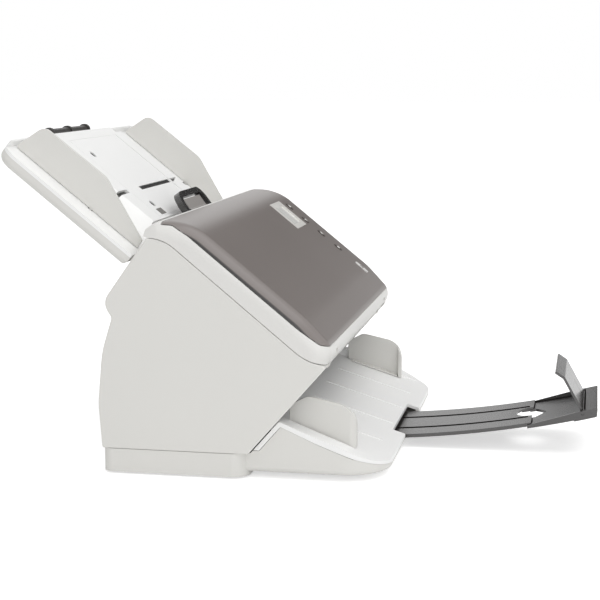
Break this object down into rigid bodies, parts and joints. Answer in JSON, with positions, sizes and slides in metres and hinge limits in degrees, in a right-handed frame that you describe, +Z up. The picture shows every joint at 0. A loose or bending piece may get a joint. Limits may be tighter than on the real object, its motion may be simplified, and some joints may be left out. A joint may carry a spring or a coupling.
{
  "type": "sheet-fed document scanner",
  "caption": "Desktop sheet-fed scanner: folding input tray with coupled side guides, hinged cover over driven rollers, and a telescopic curved output tray with a stop.",
  "frame": {"origin": "centre of the footprint on the desk, under the whole part as pictured, with the output extension out and the input tray open", "axes": "+X to the right of someone facing the operator panel, +Y to the rear (towards the input tray), +Z up"},
  "size_m": [0.312, 0.4274, 0.2432],
  "materials": {
    "casing": "light warm white, fine satin",
    "base": "light warm white, fine satin",
    "tray": "white, satin",
    "guide": "light grey, satin",
    "panel": "warm grey, satin",
    "dark": "near-black warm grey",
    "lever": "dark grey",
    "flap": "mid grey",
    "stage": "mid warm grey",
    "display": "pale grey display window",
    "key": "warm grey, a little lighter than the panel",
    "rubber": "soft black rubber",
    "roller": "dark grey rubber",
    "steel": "ground steel",
    "plate": "zinc plated sheet",
    "frame": "dark grey, matt",
    "sensor": "black",
    "glass": "clear glass",
    "gear": "natural acetal",
    "board": "green board",
    "lens": "smoked grey",
    "socket": "black"
  },
  "bodies": {
    "housing": {"bottom_housing": "base", "side_panel_left": "casing", "side_panel_right": "casing", "rear_cover": "casing", "front_wall": "casing", "output_deck": "tray", "rubber_feet": "rubber", "housing_screws": "steel", "chassis_plates": "plate", "shaft_bushings": "gear", "lower_paper_guide": "tray", "lower_image_sensor": "sensor", "lower_sensor_glass": "glass", "main_board": "board", "rear_sockets": "socket", "drive_motor": "plate"},
    "feed_roller": {"feed_roller_shaft": "steel", "feed_roller_tyres": "roller", "feed_gear": "gear"},
    "exit_roller": {"exit_roller_shaft": "steel", "exit_roller_tyres": "roller", "exit_gear": "gear"},
    "upper_idler": {"idler_gear_upper": "gear"},
    "middle_idler": {"idler_gear_middle": "gear"},
    "lower_idler": {"idler_gear_lower": "gear"},
    "pinion": {"motor_pinion": "gear"},
    "cover": {"cover_shell": "casing", "control_panel": "panel", "display_bezel": "key", "display_window": "display", "control_board": "board", "upper_transport_frame": "frame", "upper_image_sensor": "sensor", "upper_sensor_glass": "glass", "lever_bracket": "dark"},
    "up_key": {"menu_button_up": "key"},
    "down_key": {"menu_button_down": "key"},
    "back_key": {"menu_button_back": "key"},
    "select_key": {"menu_button_select": "key"},
    "power_key": {"power_button": "key"},
    "lever": {"release_lever": "lever"},
    "gap_flap": {"gap_release_flap": "flap"},
    "hooks": {"latch_hooks": "steel"},
    "separation": {"separation_roller": "roller"},
    "pinch": {"pinch_rollers": "roller"},
    "tray": {"tray_upper_shell": "tray", "tray_lower_shell": "casing", "tray_centre_panel": "tray", "paper_sensor_lens": "lens", "tray_hinge_pins": "steel"},
    "guide_left": {"paper_guide_left": "guide"},
    "guide_right": {"paper_guide_right": "guide"},
    "rack_pinion": {"guide_pinion": "gear"},
    "extension": {"tray_extension": "tray", "extension_grip": "dark"},
    "out_guide_left": {"output_guide_left": "guide"},
    "out_guide_right": {"output_guide_right": "guide"},
    "stage_inner": {"extension_inner": "stage"},
    "stage_outer": {"extension_outer": "stage"},
    "stop": {"end_stop": "stage"}
  },
  "joints": [
    {"name": "cover_hinge", "type": "hinge", "parent": "housing", "child": "cover", "pos_m": [0, -0.02753, 0.0866], "axis": [1, 0, 0], "range_deg": [0, 65]},
    {"name": "tray_hinge", "type": "hinge", "parent": "housing", "child": "tray", "pos_m": [0, 0.12266, 0.17026], "axis": [1, 0, 0], "range_deg": [0, 45]},
    {"name": "menu_button_up_press", "type": "slide", "parent": "cover", "child": "up_key", "axis": [0, 0.628, -0.7782], "range_m": [0, 0.001], "stiffness_N_per_m": 400},
    {"name": "menu_button_down_press", "type": "slide", "parent": "cover", "child": "down_key", "axis": [0, 0.628, -0.7782], "range_m": [0, 0.001], "stiffness_N_per_m": 400},
    {"name": "menu_button_back_press", "type": "slide", "parent": "cover", "child": "back_key", "axis": [0, 0.628, -0.7782], "range_m": [0, 0.001], "stiffness_N_per_m": 400},
    {"name": "menu_button_select_press", "type": "slide", "parent": "cover", "child": "select_key", "axis": [0, 0.628, -0.7782], "range_m": [0, 0.001], "stiffness_N_per_m": 400},
    {"name": "power_button_press", "type": "slide", "parent": "cover", "child": "power_key", "axis": [0, 0.628, -0.7782], "range_m": [0, 0.001], "stiffness_N_per_m": 400},
    {"name": "latch_hook_swing", "type": "hinge", "parent": "cover", "child": "hooks", "pos_m": [0, 0.08228, 0.161], "axis": [1, 0, 0], "range_deg": [-12, 0], "stiffness_Nm_per_rad": 0.15},
    {"name": "release_lever_swing", "type": "hinge", "parent": "cover", "child": "lever", "pos_m": [0, 0.09778, 0.1705], "axis": [1, 0, 0], "range_deg": [0, 15]},
    {"name": "gap_flap_swing", "type": "hinge", "parent": "cover", "child": "gap_flap", "pos_m": [0, 0.10187, 0.17617], "axis": [1, 0, 0], "range_deg": [0, 20]},
    {"name": "separation_spin", "type": "hinge", "parent": "cover", "child": "separation", "pos_m": [0, 0.07368, 0.14215], "axis": [1, 0, 0], "continuous": true},
    {"name": "pinch_spin", "type": "hinge", "parent": "cover", "child": "pinch", "pos_m": [0, 0.02467, 0.06903], "axis": [1, 0, 0], "continuous": true},
    {"name": "feed_spin", "type": "hinge", "parent": "housing", "child": "feed_roller", "pos_m": [0, 0.08946, 0.13104], "axis": [1, 0, 0], "continuous": true},
    {"name": "exit_spin", "type": "hinge", "parent": "housing", "child": "exit_roller", "pos_m": [0, 0.03882, 0.05908], "axis": [1, 0, 0], "continuous": true},
    {"name": "upper_idler_spin", "type": "hinge", "parent": "housing", "child": "upper_idler", "pos_m": [0, 0.0768, 0.11305], "axis": [1, 0, 0], "continuous": true},
    {"name": "middle_idler_spin", "type": "hinge", "parent": "housing", "child": "middle_idler", "pos_m": [0, 0.06414, 0.09506], "axis": [1, 0, 0], "continuous": true},
    {"name": "lower_idler_spin", "type": "hinge", "parent": "housing", "child": "lower_idler", "pos_m": [0, 0.05148, 0.07707], "axis": [1, 0, 0], "continuous": true},
    {"name": "pinion_spin", "type": "hinge", "parent": "housing", "child": "pinion", "pos_m": [0, 0.07886, 0.0847], "axis": [1, 0, 0], "continuous": true},
    {"name": "right_guide_slide", "type": "slide", "parent": "tray", "child": "guide_right", "axis": [-1, 0, 0], "range_m": [0, 0.035]},
    {"name": "left_guide_slide", "type": "slide", "parent": "tray", "child": "guide_left", "axis": [1, 0, 0], "range_m": [0, 0.035]},
    {"name": "rack_pinion_turn", "type": "hinge", "parent": "tray", "child": "rack_pinion", "pos_m": [0, 0.15032, 0.18146], "axis": [0, -0.6239, 0.7815], "range_deg": [0, 335.23]},
    {"name": "tray_extension_slide", "type": "slide", "parent": "tray", "child": "extension", "axis": [0, 0.7815, 0.6239], "range_m": [0, 0.06]},
    {"name": "right_output_guide_slide", "type": "slide", "parent": "housing", "child": "out_guide_right", "axis": [-1, 0, 0], "range_m": [0, 0.03]},
    {"name": "left_output_guide_slide", "type": "slide", "parent": "housing", "child": "out_guide_left", "axis": [1, 0, 0], "range_m": [0, 0.03]},
    {"name": "inner_stage_run", "type": "hinge", "parent": "housing", "child": "stage_inner", "pos_m": [0, -0.00422, 0.8194], "axis": [1, 0, 0], "range_deg": [0, 6.6]},
    {"name": "outer_stage_run", "type": "hinge", "parent": "stage_inner", "child": "stage_outer", "pos_m": [0, -0.00422, 0.8194], "axis": [1, 0, 0], "range_deg": [0, 2.2]},
    {"name": "end_stop_fold", "type": "hinge", "parent": "stage_outer", "child": "stop", "pos_m": [0, -0.20272, 0.03224], "axis": [-1, 0, 0], "range_deg": [0, 40]}
  ],
  "couplings": [
    {"joint": "upper_idler_spin", "follows": "feed_spin", "ratio": -1.2},
    {"joint": "middle_idler_spin", "follows": "feed_spin", "ratio": 1},
    {"joint": "lower_idler_spin", "follows": "feed_spin", "ratio": -1.2},
    {"joint": "exit_spin", "follows": "feed_spin", "ratio": 1},
    {"joint": "pinion_spin", "follows": "feed_spin", "ratio": -2},
    {"joint": "release_lever_swing", "follows": "latch_hook_swing", "ratio": -1.25},
    {"joint": "left_guide_slide", "follows": "right_guide_slide", "ratio": 1},
    {"joint": "rack_pinion_turn", "follows": "right_guide_slide", "rad_per_m": 166.67}
  ]
}
